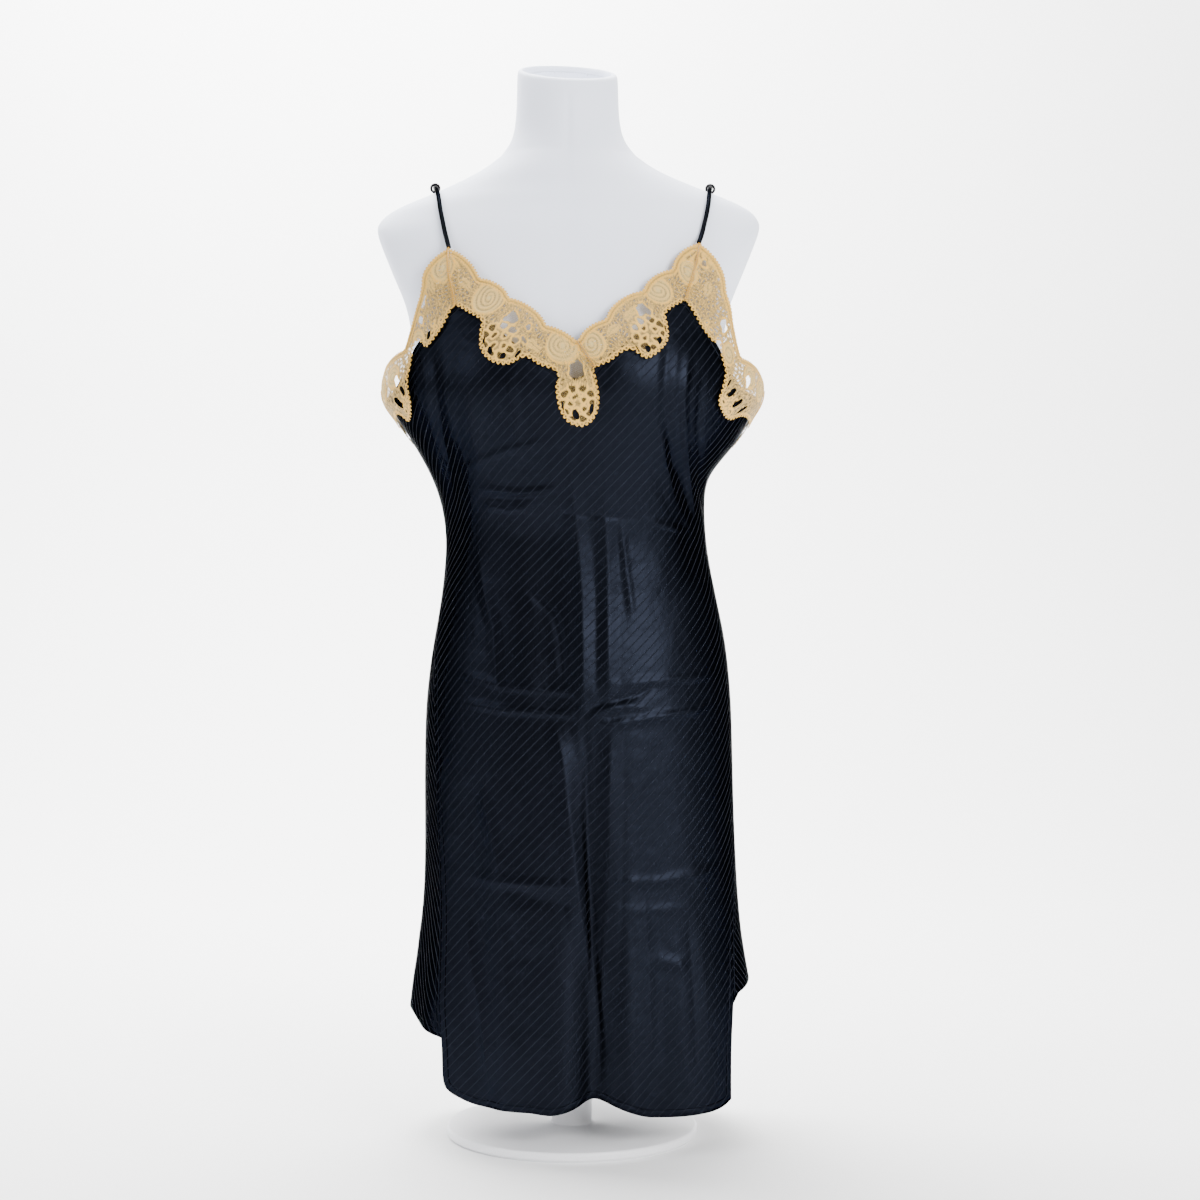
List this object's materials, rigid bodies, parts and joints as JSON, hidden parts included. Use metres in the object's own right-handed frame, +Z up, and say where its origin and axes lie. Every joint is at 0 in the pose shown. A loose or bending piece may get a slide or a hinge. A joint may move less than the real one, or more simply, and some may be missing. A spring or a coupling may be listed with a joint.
{
  "type": "nightshirt on a dress form",
  "caption": "Bias-cut satin slip nightshirt with lace edges, cord straps and side slits, worn by a limbless dress form on a plain stand.",
  "frame": {"origin": "centre of the stand plate's underside, on the surface it rests on", "axes": "+Z up along the pole, the garment's front faces -Y, +X is on the right in a front view"},
  "size_m": [0.3862, 0.2956, 1.078],
  "materials": {
    "white_cover": "matt white knit cover",
    "white_steel": "satin white paint",
    "black_satin": "black satin with fine diagonal stripes",
    "gold_lace": "matt gold and cream corded lace",
    "black_enamel": "glossy black enamel"
  },
  "bodies": {
    "root": {"form_torso": "white_cover", "stand_base": "white_steel", "stand_pole": "white_steel", "front_panel": "black_satin", "back_panel": "black_satin", "lace_neck_left": "gold_lace", "lace_neck_right": "gold_lace", "lace_arm_left": "gold_lace", "lace_arm_right": "gold_lace", "lace_back": "gold_lace", "strap_left": "black_satin", "strap_right": "black_satin", "slider_left": "black_enamel", "slider_right": "black_enamel"}
  },
  "joints": []
}
